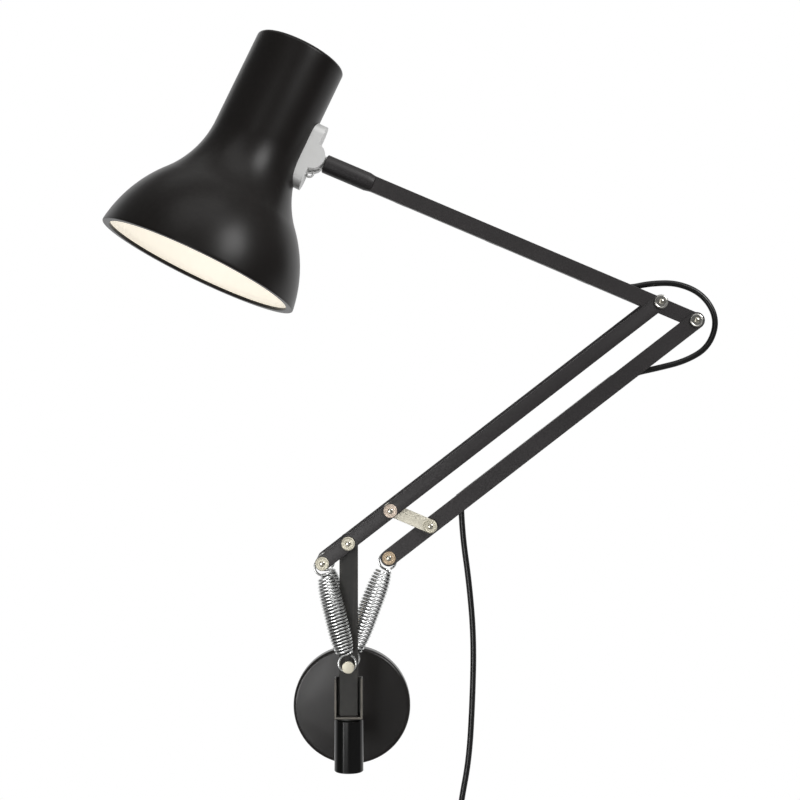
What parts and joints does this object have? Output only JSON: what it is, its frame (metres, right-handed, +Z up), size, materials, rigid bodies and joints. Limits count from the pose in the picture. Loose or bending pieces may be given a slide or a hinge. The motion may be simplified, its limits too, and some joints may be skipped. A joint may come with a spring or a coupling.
{
  "type": "articulating wall lamp",
  "caption": "Black wall lamp with a round plate, a spring-balanced parallelogram arm on a swivelling post, an upper arm and a bell-shaped tilting metal shade with a corded plug.",
  "frame": {"origin": "centre of the wall plate's back face, on the wall", "axes": "+Y into the wall, square to the plate's back face; +Z up; +X to the right seen from the front, the side that the elbow points to"},
  "size_m": [0.369, 0.1358, 0.5751],
  "materials": {
    "black_paint": "satin",
    "white_paint": "satin",
    "bare_steel": "turned",
    "nickel": "nickel plated",
    "spring_wire": "bright zinc plated",
    "cast_silver": "satin silver paint",
    "black_plastic": "matt",
    "cap_brass": "plated",
    "opal_glass": "opal",
    "black_cable": "smooth sheath"
  },
  "bodies": {
    "wall_mount": {"wall_plate_back": "bare_steel", "wall_plate_cover": "black_paint", "socket_arm": "black_paint", "socket_bush": "black_plastic", "socket_cap": "black_plastic", "stem_screws": "bare_steel", "cover_screws": "black_paint"},
    "post": {"spigot": "black_paint", "swivel_bracket": "black_paint", "post_channel": "black_paint", "bracket_rivets": "black_paint", "post_pivot": "nickel", "post_spacers": "bare_steel", "base_pin": "nickel", "base_pin_spacers": "bare_steel", "front_spring": "spring_wire", "middle_spring": "spring_wire", "rear_spring": "spring_wire"},
    "lower_arm": {"front_bar": "black_paint", "rear_bar": "black_paint", "spring_pins": "nickel", "link_pin": "nickel", "elbow_pin": "nickel", "bar_spacers": "bare_steel"},
    "link": {"link_plate": "nickel", "link_stud": "nickel"},
    "upper_arm": {"upper_channel": "black_paint", "elbow_bush": "black_plastic", "elbow_rivet": "nickel", "arm_tip": "black_paint", "arm_clips": "black_plastic", "arm_lead": "black_cable", "elbow_loop": "black_cable"},
    "tie_bar": {"tension_bar": "black_paint", "middle_spring_pin": "nickel", "bar_clips": "black_plastic", "channel_lead": "black_cable"},
    "yoke": {"yoke": "cast_silver"},
    "shade": {"shade_shell": "black_paint", "shade_bracket": "cast_silver", "tilt_pin": "bare_steel", "bracket_screws": "bare_steel", "holder_ring": "white_paint", "lamp_holder": "black_plastic", "bulb_cap": "cap_brass", "bulb": "opal_glass"},
    "hanging_lead": {"drop_lead": "black_cable", "coil_lead": "black_cable", "coil_tie": "black_plastic", "plug_relief": "black_cable", "plug_body": "black_plastic", "plug_pins": "cap_brass"}
  },
  "joints": [
    {"name": "post_swivel", "type": "hinge", "parent": "wall_mount", "child": "post", "pos_m": [0, -0.07, 0], "axis": [0, 0, 1], "range_deg": [-180, 15]},
    {"name": "lower_arm_lift", "type": "hinge", "parent": "post", "child": "lower_arm", "pos_m": [0, -0.07, 0.1097], "axis": [0, 1, 0], "range_deg": [-40, 30], "deforming": ["front_spring", "rear_spring"]},
    {"name": "elbow", "type": "hinge", "parent": "lower_arm", "child": "upper_arm", "pos_m": [0.18475, -0.07, 0.25249], "axis": [0, 1, 0], "range_deg": [-22, 70], "deforming": ["middle_spring", "elbow_loop"]},
    {"name": "link_pivot", "type": "hinge", "parent": "lower_arm", "child": "link", "pos_m": [0.02492, -0.07, 0.12896], "axis": [0, 1, 0], "range_deg": [-23, 71]},
    {"name": "tie_bar_pivot", "type": "hinge", "parent": "upper_arm", "child": "tie_bar", "pos_m": [0.20868, -0.07, 0.24233], "axis": [0, 1, 0], "range_deg": [-71, 23]},
    {"name": "shade_turn", "type": "hinge", "parent": "upper_arm", "child": "yoke", "pos_m": [-0.02236, -0.064, 0.34041], "axis": [0.9205, 0, -0.3907], "range_deg": [-45, 45]},
    {"name": "shade_tilt", "type": "hinge", "parent": "yoke", "child": "shade", "pos_m": [-0.02236, -0.064, 0.34041], "axis": [-0.0442, 0.9936, -0.1042], "range_deg": [-20, 40]},
    {"name": "lead_sway", "type": "hinge", "parent": "tie_bar", "child": "hanging_lead", "pos_m": [0.06745, -0.0652, 0.13317], "axis": [0, 1, 0], "range_deg": [-31, 41]}
  ],
  "couplings": [
    {"joint": "link_pivot", "follows": "elbow", "ratio": 1},
    {"joint": "tie_bar_pivot", "follows": "elbow", "ratio": -1},
    {"joint": "lead_sway", "follows": "lower_arm_lift", "ratio": -1}
  ]
}
